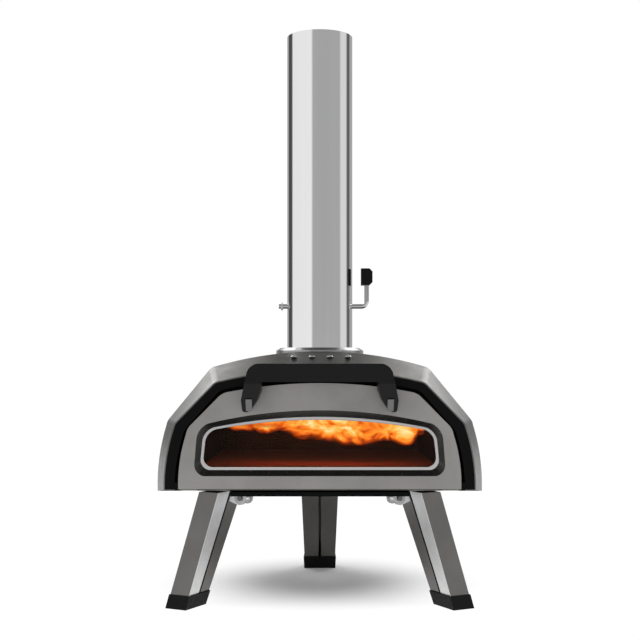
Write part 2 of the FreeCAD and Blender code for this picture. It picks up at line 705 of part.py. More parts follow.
# -------------------------------------------------------------------- the legs
def wedge(name, top, foot, place_at, turn):
    """A tapered bar down the leg.  top and foot each give the distance down the
    leg, the width, the near face and the far face."""
    solid = document.addObject("Part::Wedge", name)
    bind(solid, "Ymin", top[0])
    bind(solid, "Ymax", foot[0])
    bind(solid, "Xmin", as_size(top[1]) / -2)
    bind(solid, "Xmax", as_size(top[1]) / 2)
    bind(solid, "X2min", as_size(foot[1]) / -2)
    bind(solid, "X2max", as_size(foot[1]) / 2)
    bind(solid, "Zmin", top[2])
    bind(solid, "Zmax", top[3])
    bind(solid, "Z2min", foot[2])
    bind(solid, "Z2max", foot[3])
    return place(solid, *place_at, turn=turn)


def make_leg(word, x, y, yaw, hand):
    at = (x, y, D["pin_z"])
    lean = D["leg_lean"].value
    down = (yaw, 0, lean - 90)
    near = D["leg_offset"]
    top = (-D["leg_head"], D["leg_top_width"], near, near + D["leg_top_depth"])
    foot = (D["leg_reach"], D["leg_foot_width"], near, near + D["leg_foot_depth"])
    thin = D["sheet_thick"]
    inner_top = (-D["leg_head"] - 1, D["leg_top_width"] - thin * 2, near + thin,
                 near + D["leg_top_depth"] - thin)
    inner_foot = (D["leg_reach"] + 1, D["leg_foot_width"] - thin * 2, near + thin,
                  near + D["leg_foot_depth"] - thin)
    outside = wedge(word + "_outside", top, foot, at, down)
    inside = wedge(word + "_inside", inner_top, inner_foot, at, down)
    slit_half = D["leg_slit"]
    slit = wedge(word + "_slit", (-D["leg_head"] - 1, slit_half, near - 2, near + 6),
                 (D["leg_reach"] + 1, slit_half, near - 2, near + 6), at, down)
    above = box(word + "_above", (as_size(x) - 90, as_size(y) - 90, D["body_base"] - 3.5), (180, 180, 60))
    solid = cut(word + "_sheet", outside, fuse(word + "_voids", [inside, slit, above]))
    node(solid, word)
    skin = D["foot_skin"]
    share = (D["foot_end"] + D["leg_head"]) / (D["leg_reach"] + D["leg_head"])
    end_width = D["leg_top_width"] + (D["leg_foot_width"] - D["leg_top_width"]) * share
    end_depth = D["leg_top_depth"] + (D["leg_foot_depth"] - D["leg_top_depth"]) * share
    block = wedge(word + "_foot_block",
                  (-D["leg_head"], D["leg_top_width"] + skin * 2, near - skin,
                   near + D["leg_top_depth"] + skin),
                  (D["foot_end"], end_width + skin * 2, near - skin, near + end_depth + skin), at, down)
    core = wedge(word + "_foot_core", top, foot, at, down)
    ground = box(word + "_ground", (as_size(x) - 200, as_size(y) - 200, -60), (400, 400, 60))
    higher = box(word + "_higher", (as_size(x) - 200, as_size(y) - 200, D["foot_top"]), (400, 400, 250))
    node(cut(word + "_foot_cut", block, fuse(word + "_foot_voids", [core, ground, higher])), word + "_foot")
    make_knuckle(word, at, yaw, lean, hand)
    make_bracket(word, at, yaw, hand)


def local_box(name, at, turn, low, span):
    """A box whose low corner is given in a turned frame at a point."""
    corner = FreeCAD.Rotation(*turn).multVec(FreeCAD.Vector(*[as_size(part).value for part in low]))
    solid = document.addObject("Part::Box", name)
    for prop, length in zip(("Length", "Width", "Height"), span):
        bind(solid, prop, length)
    return place(solid, as_size(at[0]) + corner.x, as_size(at[1]) + corner.y,
                 as_size(at[2]) + corner.z, turn=turn)


def mirror_start(hand, start, length):
    """Where a run along the hinge starts, on a left-handed or right-handed leg."""
    start = as_size(start)
    return start if hand > 0 else -(start + length)


def local_rod(name, at, turn, start, radius, length):
    """A cylinder along the turned X axis, from a distance along that axis."""
    frame = FreeCAD.Rotation(*turn)
    shift = frame.multVec(FreeCAD.Vector(as_size(start).value, 0, 0))
    solid = document.addObject("Part::Cylinder", name)
    bind(solid, "Radius", radius)
    bind(solid, "Height", length)
    across = frame.multiply(FreeCAD.Rotation(FreeCAD.Vector(0, 1, 0), 90))
    place(solid, as_size(at[0]) + shift.x, as_size(at[1]) + shift.y, as_size(at[2]) + shift.z)
    solid.Placement = FreeCAD.Placement(solid.Placement.Base, across)
    return solid


def make_knuckle(word, at, yaw, lean, hand):
    plate = D["bracket_plate"]
    slack = D["side_slack"]
    width = D["bracket_gap"] - slack * 2
    start = mirror_start(hand, plate / 2 + slack, width)
    frame = (yaw, 0, lean)
    boss = local_rod(word + "_boss", at, frame, start, D["knuckle_radius"], width)
    arm = local_box(word + "_arm", at, frame, (start, 0, -10), (width, D["leg_offset"], 12))
    bore = local_rod(word + "_bore", at, frame, start - 2, D["pin_radius"] + 0.05, width + 4)
    node(cut(word + "_knuckle_cut", fuse(word + "_knuckle_blank", [boss, arm]), bore), word + "_knuckle")


def make_bracket(word, at, yaw, hand):
    plate = D["bracket_plate"]
    flat = (yaw, 0, 0)
    roof = D["body_base"] - D["sheet_thick"] - D["pin_z"]
    pieces = []
    starts = (mirror_start(hand, plate * -0.5, plate),
              mirror_start(hand, plate * 0.5 + D["bracket_gap"], plate))
    reach = D["bracket_gap"] + plate * 2
    near_end = mirror_start(hand, plate * -0.5, reach)
    for index, start in enumerate(starts):
        radius = D["bracket_radius"]
        disc = local_rod("%s_disc_%d" % (word, index), at, flat, start, radius, plate)
        web = local_box("%s_web_%d" % (word, index), at, flat, (start, -radius, 0), (plate, radius * 2, roof))
        pieces += [disc, web]
    flange = local_box(word + "_flange", at, flat, (near_end, -radius, roof - 2),
                       (reach, radius + 5, 2))
    hole = local_rod(word + "_bracket_hole", at, flat, near_end - 10, D["pin_radius"] + 0.02, 60)
    above = box(word + "_bracket_above", (as_size(at[0]) - 60, as_size(at[1]) - 60,
                D["body_base"] - D["sheet_thick"]), (120, 120, 40))
    body = cut(word + "_bracket_cut", fuse(word + "_bracket_blank", pieces + [flange]),
               fuse(word + "_bracket_voids", [hole, above]))
    node(body, word + "_bracket")
    shank = local_rod(word + "_shank", at, flat, near_end - 1.8, D["pin_radius"], reach + 3.6)
    heads = []
    for index, start in enumerate((near_end - 1.8, near_end + reach)):
        heads.append(local_rod("%s_head_%d" % (word, index), at, flat, start, D["pin_radius"] + 0.9, 1.8))
    node(fuse(word + "_pin_blank", [shank] + heads), word + "_pin")


def make_legs():
    turn = D["leg_turn"].value
    make_leg("leg_left", -D["front_pin_x"], D["front_pin_y"], turn, 1)
    make_leg("leg_right", D["front_pin_x"], D["front_pin_y"], -turn, -1)
    make_leg("leg_rear", as_size(0), D["rear_pin_y"], 0, 1)


def make_tray_bolts():
    heads = []
    for side in (-1, 1):
        for index, y in enumerate((D["tray_front"] + 12, D["tray_front"] + D["tray_length"] - 14)):
            at = ((D["tray_half"] - 10) * side, y, D["body_base"] - D["sheet_thick"] - D["bolt_head"])
            heads.append(rod("tray_bolt_%d_%d" % (side + 1, index), D["bolt_radius"], D["bolt_head"], at))
    node(fuse("tray_bolt_set", heads), "tray_bolts")


# -------------------------------------------------------------- the fuel end
def make_fuel_box():
    thin = D["sheet_thick"]
    half = D["box_half"]
    low = D["box_base"]
    tall = D["box_tall"]
    outer = box("fuel_outside", (-half, D["back_y"], low), (half * 2, D["box_depth"], tall))
    inner = box("fuel_inside", (-half + thin, D["back_y"] + thin, low + thin),
                ((half - thin) * 2, D["box_depth"] - thin * 2, tall))
    throat = box("fuel_throat", (-D["throat_half"], D["back_y"] - 5, D["throat_base"]),
                 (D["throat_half"] * 2, 10, D["throat_tall"]))
    slot = box("fuel_slot", (-D["burner_half"] - 1, D["back_y"] + D["box_depth"] - 5, D["burner_base"] - 1),
               ((D["burner_half"] + 1) * 2, 10, D["burner_tall"] + 2))
    node(cut("fuel", outer, fuse("fuel_voids", [inner, throat, slot])), "fuel_box")
    bars = []
    for side in (-1, 1):
        start = -half + thin if side < 0 else half - thin - 6
        bars.append(box("grate_ledge_%d" % (side + 1), (start, D["back_y"] + 6, D["grate_z"] - 4),
                        (6, D["box_depth"] - 14, 4)))
    count = 9
    gap = (half * 2 - thin * 2 - 4) / (count - 1)
    for index in range(count):
        bars.append(box("grate_bar_%d" % index, (-half + thin + gap * index, D["back_y"] + 8, D["grate_z"]),
                        (4, D["box_depth"] - 18, 4)))
    for index, share in enumerate((0.12, 0.8)):
        bars.append(box("grate_cross_%d" % index, (-half + thin, D["back_y"] + D["box_depth"] * share,
                        D["grate_z"]), ((half - thin) * 2, 4, 3)))
    node(fuse("grate", bars), "fire_grate")


def make_burner_tray():
    thin = D["sheet_thick"]
    half = D["burner_half"]
    low = D["burner_base"]
    start = D["back_y"] + 8
    depth = D["box_depth"] - 8 + 4
    outer = box("burner_outside", (-half, start, low), (half * 2, depth, D["burner_tall"]))
    inner = box("burner_inside", (-half + thin, start + thin, low + thin),
                ((half - thin) * 2, depth - thin * 2 - 3, D["burner_tall"]))
    node(cut("burner", outer, inner), "burner_tray")
    face = start + depth
    mid = low + D["burner_tall"] / 2 - 4
    grip = box("burner_grip", (-40, D["rear_limit"] - 9, mid), (80, 9, 8))
    posts = []
    for side in (-1, 1):
        posts.append(box("burner_post_%d" % (side + 1), (side * 34 - 5, face, mid),
                         (10, D["rear_limit"] - face - 4, 8)))
    node(fuse("burner_handle_blank", [grip] + posts), "burner_handle")
    node(box("burner_runner", (-half, D["back_y"] + 8, D["box_base"] + thin),
             (half * 2, D["box_depth"] - 12, D["burner_base"] - D["box_base"] - thin)), "burner_runners")


def make_hatch():
    top = D["box_base"] + D["box_tall"]
    lid_low = (-D["box_half"] - 2, D["back_y"] + 6, top)
    lid = box("hatch_lid", lid_low, (D["box_half"] * 2 + 4, D["box_depth"] - 7, D["hatch_thick"]))
    barrel_y = D["back_y"] + D["box_depth"] + 9
    barrel = rod("hatch_barrel", 4, 60, (-30, barrel_y, top + 1), ALONG_X)
    leaf = box("hatch_leaf", (-30, barrel_y - 11, top), (60, 8, D["hatch_thick"]))
    bore = rod("hatch_bore", 2.05, 80, (-40, barrel_y, top + 1), ALONG_X)
    node(cut("hatch", fuse("hatch_blank", [lid, barrel, leaf]), bore), "fuel_hatch")
    pin = rod("hatch_pin_shank", 2, 78, (-39, barrel_y, top + 1), ALONG_X)
    ears = []
    for side in (-1, 1):
        start = 31 if side > 0 else -34
        ears.append(box("hatch_ear_%d" % (side + 1), (start, barrel_y - 9, top - 8), (3, 13, 13)))
    node(fuse("hatch_pin_blank", [pin] + ears), "hatch_hinge")
    grip = box("hatch_grip", (-30, D["back_y"] + 22, top + D["hatch_thick"] + 16), (60, 10, 8))
    posts = []
    for side in (-1, 1):
        foot = (side * 25 - 5, D["back_y"] + 22, top + D["hatch_thick"])
        posts.append(box("hatch_post_%d" % (side + 1), foot, (10, 10, 16)))
    node(fuse("hatch_handle_blank", [grip] + posts), "hatch_handle")


make_shell()
make_rear_panel()
make_front_frame()
make_mouth_plate()
make_floor()
make_under_tray()
make_liner()
make_insulation()
make_stone()
make_flue()
make_door()
make_door_hinges()
make_handle()
make_chimney()
make_damper()
make_legs()
make_tray_bolts()
make_fuel_box()
make_burner_tray()
make_hatch()

document.recompute()

# ---------------------------------------------------------------- write it out
faults = [item.Name for item in document.Objects if {"Invalid", "Error"} & set(item.State)]
if faults:
    raise RuntimeError("failed objects: %s" % faults)
for name, thing in NODES:
    if thing.Shape.isNull() or not thing.Shape.isValid():
        raise RuntimeError("bad shape: %s" % name)
    if not thing.Shape.Solids:
        raise RuntimeError("no solid: %s" % name)
os.makedirs("parts", exist_ok=True)
for name, thing in NODES:
    thing.Shape.exportStep(os.path.join("parts", name + ".step"))
    limits = thing.Shape.BoundBox
    print("%-20s solids %d  volume %9.0f  x %.1f..%.1f  y %.1f..%.1f  z %.1f..%.1f" % (
        name, len(thing.Shape.Solids), thing.Shape.Volume, limits.XMin, limits.XMax,
        limits.YMin, limits.YMax, limits.ZMin, limits.ZMax))
print("%d nodes" % len(NODES))
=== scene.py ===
import json
import math

import bmesh
import bpy
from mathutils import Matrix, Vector


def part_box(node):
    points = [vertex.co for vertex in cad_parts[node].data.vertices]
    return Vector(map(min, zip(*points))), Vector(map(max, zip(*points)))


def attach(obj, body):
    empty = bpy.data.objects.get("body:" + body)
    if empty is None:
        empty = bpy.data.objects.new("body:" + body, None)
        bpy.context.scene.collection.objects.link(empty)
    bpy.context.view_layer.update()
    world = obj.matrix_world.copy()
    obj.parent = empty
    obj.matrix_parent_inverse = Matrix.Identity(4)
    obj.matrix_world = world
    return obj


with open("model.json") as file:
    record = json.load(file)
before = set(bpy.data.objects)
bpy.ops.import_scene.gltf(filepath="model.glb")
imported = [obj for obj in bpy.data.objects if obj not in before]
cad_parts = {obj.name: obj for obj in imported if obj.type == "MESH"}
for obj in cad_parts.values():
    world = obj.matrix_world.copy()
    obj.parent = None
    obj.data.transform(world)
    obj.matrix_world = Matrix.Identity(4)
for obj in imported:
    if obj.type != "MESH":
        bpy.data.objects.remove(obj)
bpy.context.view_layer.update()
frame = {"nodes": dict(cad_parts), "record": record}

MM = 0.001
SCENE = bpy.context.scene
NODES = frame["nodes"]


# ---------------------------------------------------------------- node helpers
def math_node(tree, operation, first, second=None):
    """A Math node whose inputs are numbers or other nodes' outputs."""
    made = tree.nodes.new("ShaderNodeMath")
    made.operation = operation
    for socket, value in zip(made.inputs, (first, second)):
        if isinstance(value, (int, float)):
            socket.default_value = value
        elif value is not None:
            tree.links.new(value, socket)
    return made.outputs[0]


def ramp_node(tree, factor, stops):
    """Colours or greys along a factor, given as positions from 0 to 1."""
    made = tree.nodes.new("ShaderNodeValToRGB")
    line = made.color_ramp
    while len(line.elements) < len(stops):
        line.elements.new(0.5)
    for element, (where, value) in zip(line.elements, stops):
        element.position = where
        shade = value if isinstance(value, tuple) else (value, value, value)
        element.color = (*shade, 1)
    tree.links.new(factor, made.inputs["Fac"])
    return made.outputs["Color"]


# ------------------------------------------------------------------ materials
class Shader:
    """A material's node tree, with short ways to add and join nodes."""

    def __init__(self, name):
        self.material = bpy.data.materials.new(name)
        self.material.use_nodes = True
        self.tree = self.material.node_tree
        self.surface = self.tree.nodes["Principled BSDF"]
        self.output = self.tree.nodes["Material Output"]

    def add(self, kind, **sockets):
        made = self.tree.nodes.new(kind)
        for key, value in sockets.items():
            made.inputs[key.replace("_", " ")].default_value = value
        return made

    def join(self, source, target):
        self.tree.links.new(source, target)

    def place(self, stretch=(1, 1, 1), shift=(0, 0, 0)):
        """Object coordinates, in metres, stretched and shifted along each axis."""
        coordinates = self.add("ShaderNodeTexCoord")
        mapping = self.add("ShaderNodeMapping", Scale=stretch, Location=shift)
        self.join(coordinates.outputs["Object"], mapping.inputs["Vector"])
        return mapping.outputs["Vector"]

    def noise(self, scale, detail=4.0, stretch=(1, 1, 1), distortion=0.0):
        made = self.add("ShaderNodeTexNoise", Scale=scale, Detail=detail, Distortion=distortion)
        self.join(self.place(stretch), made.inputs["Vector"])
        return made.outputs["Fac"]

    def ramp(self, factor, stops, target=None):
        """Map a factor to a colour or a grey, and lead it to a socket if one is given."""
        colour = ramp_node(self.tree, factor, stops)
        if target is not None:
            self.join(colour, target)
        return colour

    def calculate(self, operation, first, second):
        return math_node(self.tree, operation, first, second)

    def height_above(self, bottom, top):
        """How far up a point is between two heights, from 0 to 1."""
        parts = self.add("ShaderNodeSeparateXYZ")
        self.join(self.place(), parts.inputs["Vector"])
        rise = self.add("ShaderNodeMapRange")
        rise.inputs["From Min"].default_value = bottom
        rise.inputs["From Max"].default_value = top
        self.join(parts.outputs["Z"], rise.inputs["Value"])
        return rise.outputs["Result"]

    def bump(self, height, strength, distance):
        made = self.add("ShaderNodeBump", Strength=strength, Distance=distance)
        self.join(height, made.inputs["Height"])
        self.join(made.outputs["Normal"], self.surface.inputs["Normal"])

    def set(self, **sockets):
        for key, value in sockets.items():
            self.surface.inputs[key.replace("_", " ")].default_value = value


TONE_SCALE = 14                    # noise scale of a coat's slight changes of tone
GLOSS_SCALE = 90                   # and of its changes of gloss
COAT_GRAIN = (2600, 2)             # scale and detail of the powder coat's grain
COAT_DEPTH = 0.08 * MM             # how deep that grain is
BRUSH_DEPTH = 0.02 * MM            # how deep the drawn lines in bare metal are
LEG_LEAN = 19.3                    # degrees that a standing leg leans outward
LEG_INNER = 17 * MM                # from the hinge pin to the leg's inner face
LEG_SKIN = 0.6 * MM                # how far past that face still counts as the face
LEG_DARK = (0.125, 0.12, 0.115)    # the leg coat's two tones
LEG_LIGHT = (0.15, 0.145, 0.14)


def around(shade, spread):
    """Two colours a little darker and a little lighter than a shade."""
    return tuple(part * (1 - spread) for part in shade), tuple(part * (1 + spread) for part in shade)


def powder_coat(name, shade, metallic, rough, grain, shine=0.5):
    """Baked powder paint: a fine grain with slight changes of tone and gloss."""
    made = Shader(name)
    made.set(Metallic=metallic, Specular_IOR_Level=shine)
    low, high = around(shade, 0.10)
    made.ramp(made.noise(TONE_SCALE, 6), [(0.35, low), (0.65, high)], made.surface.inputs["Base Color"])
    made.ramp(made.noise(GLOSS_SCALE, 3), [(0.3, rough - 0.04), (0.7, rough + 0.05)],
              made.surface.inputs["Roughness"])
    made.bump(made.noise(*COAT_GRAIN), grain, COAT_DEPTH)
    return made.material


def leg_coat(name, joint, hand):
    """A folded leg in dark coat.  On a front leg, one flange beside the slit gets a bright metal colour, a
    painted sheen that makes it look lit beside its dark neighbour.
    """
    made = Shader(name)
    made.set(Metallic=0.9)
    base = made.surface.inputs["Base Color"]
    plain = made.ramp(made.noise(TONE_SCALE, 5), [(0.35, LEG_DARK), (0.65, LEG_LIGHT)])
    made.ramp(made.noise(GLOSS_SCALE, 3), [(0.3, 0.30), (0.7, 0.37)], made.surface.inputs["Roughness"])
    made.bump(made.noise(*COAT_GRAIN), 0.35, COAT_DEPTH)
    if not hand:
        made.join(plain, base)
        return made.material
    axis = joint["axis"]
    coordinates = made.add("ShaderNodeTexCoord")
    along_leg = made.add("ShaderNodeMapping")
    along_leg.vector_type = "TEXTURE"
    along_leg.inputs["Location"].default_value = joint["pos_m"]
    along_leg.inputs["Rotation"].default_value = (math.radians(LEG_LEAN), 0, math.atan2(-axis[1], -axis[0]))
    made.join(coordinates.outputs["Object"], along_leg.inputs["Vector"])
    parts = made.add("ShaderNodeSeparateXYZ")
    made.join(along_leg.outputs["Vector"], parts.inputs["Vector"])
    inner = made.calculate("LESS_THAN", parts.outputs["Y"], LEG_INNER + LEG_SKIN)
    side = made.calculate("LESS_THAN", made.calculate("MULTIPLY", parts.outputs["X"], hand), 0.0)
    # Painted sheen: the flange on one side of the slit gets a bright metal colour so that it looks lit,
    # while the flange in the same plane beside it keeps the dark coat.
    painted_sheen_flange = made.ramp(made.noise(60, 5), [(0.3, 0.60), (0.7, 0.66)])
    coat_with_painted_sheen = made.add("ShaderNodeMix")
    coat_with_painted_sheen.data_type = "RGBA"
    made.join(made.calculate("MULTIPLY", inner, side), coat_with_painted_sheen.inputs["Factor"])
    made.join(plain, coat_with_painted_sheen.inputs[6])
    made.join(painted_sheen_flange, coat_with_painted_sheen.inputs[7])
    made.join(coat_with_painted_sheen.outputs[2], base)
    return made.material


def metal(name, shade, rough, stretch, scratch):
    """Bare metal with fine drawn lines along one axis."""
    made = Shader(name)
    made.set(Metallic=1.0)
    low, high = around(shade, 0.03)
    lines = made.noise(60, 5, stretch)
    made.ramp(lines, [(0.3, low), (0.7, high)], made.surface.inputs["Base Color"])
    made.ramp(lines, [(0.3, rough * 0.85), (0.7, rough * 1.2)], made.surface.inputs["Roughness"])
    made.bump(made.noise(900, 3, stretch), scratch, BRUSH_DEPTH)
    return made.material


def grainy(name, shade, rough, scale, depth, spread=0.2, metallic=0.0, shine=0.5):
    """Rubber, plastic, cast iron, stone and fibre: a rough grain of one scale."""
    made = Shader(name)
    made.set(Metallic=metallic, Specular_IOR_Level=shine)
    low, high = around(shade, spread)
    made.ramp(made.noise(scale, 8), [(0.3, low), (0.7, high)], made.surface.inputs["Base Color"])
    made.ramp(made.noise(scale * 0.4, 4), [(0.3, rough - 0.06), (0.7, rough + 0.06)],
              made.surface.inputs["Roughness"])
    made.bump(made.noise(scale * 3, 5), 0.5, depth)
    return made.material


def glass(name):
    made = Shader(name)
    made.set(Transmission_Weight=1.0, IOR=1.12)
    made.ramp(made.noise(25, 3), [(0.3, 0.02), (0.8, 0.05)], made.surface.inputs["Roughness"])
    made.ramp(made.noise(8, 3), [(0.3, (0.90, 0.88, 0.86)), (0.7, (0.98, 0.97, 0.96))],
              made.surface.inputs["Base Color"])
    return made.material


JOINTS = {joint["name"]: joint for joint in frame["record"]["behaviour"]["joints"]}

MATERIALS = {
    "left leg": leg_coat("left leg coat", JOINTS["left_leg_fold"], 1),
    "right leg": leg_coat("right leg coat", JOINTS["right_leg_fold"], -1),
    "rear leg": leg_coat("rear leg coat", JOINTS["rear_leg_fold"], 0),
    "grey": powder_coat("grey powder coat", (0.135, 0.132, 0.128), 0.85, 0.33, 0.35),
    "door": powder_coat("grey door coat", (0.29, 0.28, 0.27), 0.7, 0.38, 0.35),
    "black": powder_coat("black heatproof coat", (0.002, 0.002, 0.0021), 0.0, 0.45, 0.5, 0.08),
    "handle": powder_coat("black handle coat", (0.006, 0.006, 0.0064), 0.0, 0.40, 0.6, 0.14),
    "liner": powder_coat("scorched liner steel", (0.045, 0.014, 0.006), 0.3, 0.6, 0.6, 0.1),
    "pipe": metal("polished chimney steel", (0.90, 0.90, 0.905), 0.07, (1, 1, 0.02), 0.10),
    "bright": metal("bright bar", (0.55, 0.55, 0.55), 0.16, (0.05, 1, 1), 0.2),
    "collar": metal("collar steel", (0.34, 0.34, 0.34), 0.22, (0.05, 1, 1), 0.2),
    "trim": metal("window ring steel", (0.50, 0.50, 0.50), 0.26, (0.05, 1, 1), 0.2),
    "bezel": powder_coat("window bezel coat", (0.06, 0.058, 0.055), 0.9, 0.24, 0.3),
    "bracket": metal("leg bracket steel", (0.42, 0.42, 0.42), 0.30, (1, 0.1, 1), 0.3),
    "dull": metal("dull strap steel", (0.16, 0.16, 0.16), 0.35, (0.05, 1, 1), 0.2),
    "steel": metal("brushed sheet steel", (0.72, 0.72, 0.72), 0.28, (1, 0.1, 1), 0.3),
    "stone": grainy("baking stone", (0.10, 0.032, 0.015), 0.85, 120, 0.0004, shine=0.1),
    "fibre": grainy("ceramic fibre", (0.80, 0.79, 0.75), 0.95, 200, 0.0008, 0.08),
    "iron": grainy("cast iron", (0.03, 0.028, 0.027), 0.7, 300, 0.0003, 0.3, 0.6),
    "rubber": grainy("foot rubber", (0.004, 0.004, 0.004), 0.6, 500, 0.0001, shine=0.12),
    "plastic": grainy("black knob plastic", (0.003, 0.003, 0.0032), 0.42, 700, 0.00006, shine=0.12),
    "glass": glass("heatproof glass"),
}

FINISH = {
    "grey": ["outer_shell", "rear_panel", "threshold_plate"],
    "door": ["door_panel"],
    "left leg": ["leg_left"],
    "right leg": ["leg_right"],
    "rear leg": ["leg_rear"],
    "black": ["front_frame", "mouth_plate", "base_plate", "under_tray", "tray_bolts", "door_backing",
              "door_hinge_left", "door_hinge_right", "fuel_box", "fuel_hatch", "burner_runners"],
    "handle": ["door_handle"],
    "liner": ["inner_liner", "stone_rails", "flame_guard", "flue_duct"],
    "pipe": ["chimney_pipe"],
    "bright": ["damper_rod", "damper_clip"],
    "collar": ["chimney_collar"],
    "trim": ["window_trim"],
    "bezel": ["window_bezel"],
    "dull": ["handle_straps", "leg_left_pin", "leg_right_pin", "leg_rear_pin"],
    "bracket": ["leg_left_bracket", "leg_right_bracket", "leg_rear_bracket"],
    "stone": ["pizza_stone"],
    "fibre": ["insulation_blanket"],
    "iron": ["fire_grate"],
    "rubber": ["leg_left_foot", "leg_right_foot", "leg_rear_foot"],
    "plastic": ["damper_knob", "burner_handle", "hatch_handle"],
    "glass": ["window_glass"],
}


def finish_nodes():
    given = {node: word for word, nodes in FINISH.items() for node in nodes}
    for node, thing in NODES.items():
        material = MATERIALS[given.get(node, "steel")]
        thing.data.materials.clear()
        thing.data.materials.append(material)


def soften(node, width):
    """Round a CAD piece's sharp edges a little, so that they catch the light."""
    edge = NODES[node].modifiers.new("rounded edges", "BEVEL")
    edge.width = width
    edge.segments = 2
    edge.limit_method = "ANGLE"
    edge.angle_limit = math.radians(35)
    edge.harden_normals = False


# -------------------------------------------------------------------- staging
def area_light(name, where, aim, size, power, tint=(1, 1, 1)):
    light = bpy.data.lights.new(name, "AREA")
    light.shape = "RECTANGLE"
    light.size = size[0]
    light.size_y = size[1]
    light.energy = power
    light.color = tint
    holder = bpy.data.objects.new(name, light)
    holder.location = where
    holder.rotation_euler = (Vector(aim) - Vector(where)).to_track_quat("-Z", "Y").to_euler()
    SCENE.collection.objects.link(holder)
    return holder


def around_room(stops):
    return [((degrees + 180) / 360, value) for degrees, value in stops]


def up_room(stops):
    return [((degrees + 90) / 180, value) for degrees, value in stops]


# A plain studio, in degrees from the front, negative to the left.  Each panel has its two edges and
# its brightness, and the walls between the panels have one brightness of their own.
WALL = 0.4
PANEL_FADE = 6                     # degrees over which each edge fades
LEVEL_PANELS = [(-110, -30, 0.85), (80, 105, 0.7)]
LEVEL_GAPS = [(-140, -118, 0.07), (113, 128, 0.12)]
HIGH_WALL = 0.6
HIGH_PANELS = [(-160, -125, 3.6), (125, 160, 3.6)]
HIGH_GAPS = [(-180, -168, 0.1), (168, 180, 0.1)]
HIGH_PEAK = 4.0


def ring(wall, patches):
    """Stops round the room: the wall's brightness, with a patch between each pair of edges."""
    stops = []
    for start, stop, shade in sorted(patches):
        if start > -180:
            stops.append((start - PANEL_FADE, wall))
        stops += [(start, shade), (stop, shade)]
        if stop < 180:
            stops.append((stop + PANEL_FADE, wall))
    return stops


LEVEL = ring(WALL, LEVEL_PANELS + LEVEL_GAPS)
HIGH = ring(HIGH_WALL, HIGH_PANELS + HIGH_GAPS)
# In degrees up: the high ring takes over from the level one, and then dims to a quarter.
LIFT = [(17, 0.0), (25, 1.0)]
ZENITH = [(42, 1.0), (60, 0.25)]


def studio_sky():
    """A studio seen in the round: white panels, grey walls and narrow dark gaps."""
    world = bpy.data.worlds.new("studio")
    SCENE.world = world
    world.use_nodes = True
    tree = world.node_tree
    tree.nodes.clear()

    output = tree.nodes.new("ShaderNodeOutputWorld")
    coordinates = tree.nodes.new("ShaderNodeTexCoord")
    parts = tree.nodes.new("ShaderNodeSeparateXYZ")
    tree.links.new(coordinates.outputs["Generated"], parts.inputs["Vector"])
    front = math_node(tree, "MULTIPLY", parts.outputs["Y"], -1.0)
    turn = math_node(tree, "ARCTAN2", parts.outputs["X"], front)
    azimuth = math_node(tree, "ADD", math_node(tree, "DIVIDE", turn, 2 * math.pi), 0.5)
    up = math_node(tree, "ARCSINE", parts.outputs["Z"])
    elevation = math_node(tree, "ADD", math_node(tree, "DIVIDE", up, math.pi), 0.5)
    level = ramp_node(tree, azimuth, around_room(LEVEL))
    high = ramp_node(tree, azimuth, around_room([(where, value / HIGH_PEAK) for where, value in HIGH]))
    high = math_node(tree, "MULTIPLY", high, HIGH_PEAK)
    high = math_node(tree, "MULTIPLY", high, ramp_node(tree, elevation, up_room(ZENITH)))
    lift = ramp_node(tree, elevation, up_room(LIFT))
    low_part = math_node(tree, "MULTIPLY", level, math_node(tree, "SUBTRACT", 1.0, lift))
    shade = math_node(tree, "ADD", low_part, math_node(tree, "MULTIPLY", high, lift))
    room = tree.nodes.new("ShaderNodeBackground")
    tree.links.new(shade, room.inputs["Color"])
    backdrop = tree.nodes.new("ShaderNodeBackground")
    backdrop.inputs["Color"].default_value = (1, 1, 1, 1)
    rays = tree.nodes.new("ShaderNodeLightPath")
    mix = tree.nodes.new("ShaderNodeMixShader")
    tree.links.new(rays.outputs["Is Camera Ray"], mix.inputs[0])
    tree.links.new(room.outputs[0], mix.inputs[1])
    tree.links.new(backdrop.outputs[0], mix.inputs[2])
    tree.links.new(mix.outputs[0], output.inputs["Surface"])


FLOOR_REACH = 30.0                 # metres from the middle to each edge
# The lit floor gives way to plain white between these two distances in metres.  They are measured
# from a place a little behind the middle, and a distance from front to back is stretched.
SHADOW_FROM = 0.06
SHADOW_TO = 0.31
SHADOW_STRETCH = (1, 1.15, 1)
SHADOW_SHIFT = (0, -0.03, 0)
FLOOR_GLOW = 1.03


